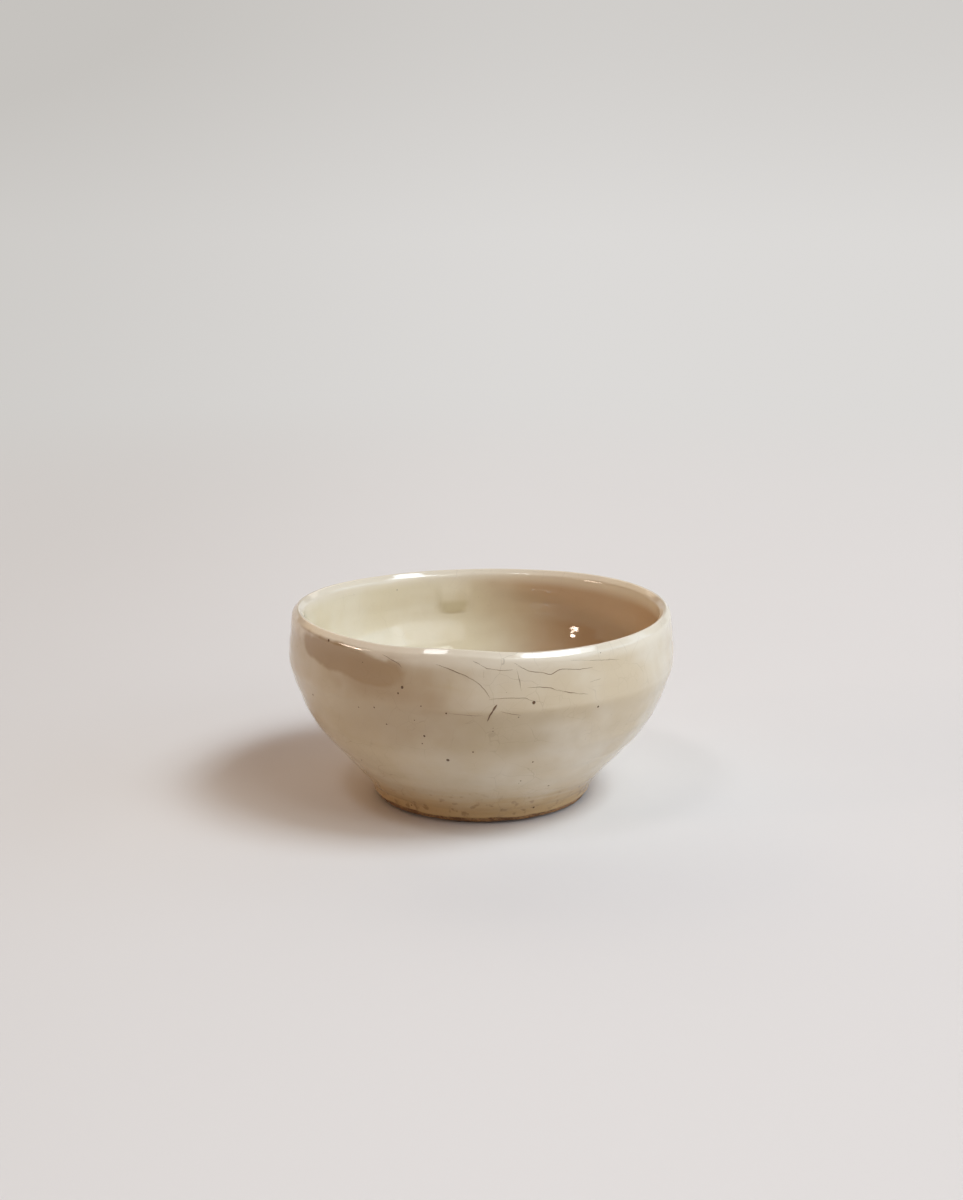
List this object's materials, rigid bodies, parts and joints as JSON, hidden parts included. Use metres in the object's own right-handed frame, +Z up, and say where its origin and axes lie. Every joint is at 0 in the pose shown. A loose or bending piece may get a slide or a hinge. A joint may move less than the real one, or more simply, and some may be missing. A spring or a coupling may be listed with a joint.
{
  "type": "tea cup",
  "caption": "Small hand-thrown porcelain tea cup without a handle, round belly, low foot ring, crackled cream glaze, holds a few mouthfuls of tea.",
  "frame": {"origin": "centre of the circle that the foot stands on, at table level", "axes": "+Z up along the cup's axis, +Y away from the viewer of the picture, +X to the viewer's right"},
  "size_m": [0.0702, 0.0698, 0.0355],
  "materials": {
    "porcelain_body": "matt fired porcelain body, warm off-white, hidden under the glaze",
    "bare_foot_clay": "bare fired clay, toasted brown at the foot's edge",
    "luting_slip": "fired slip in the joint, hidden under the glaze",
    "crackle_glaze": "clear glossy cream glaze with fine grey-brown crackle and scattered iron specks"
  },
  "bodies": {
    "root": {"bowl_body": "porcelain_body", "foot_ring": "bare_foot_clay", "foot_slip": "luting_slip", "outer_glaze": "crackle_glaze", "inner_glaze": "crackle_glaze", "foot_well_glaze": "crackle_glaze"}
  },
  "joints": []
}
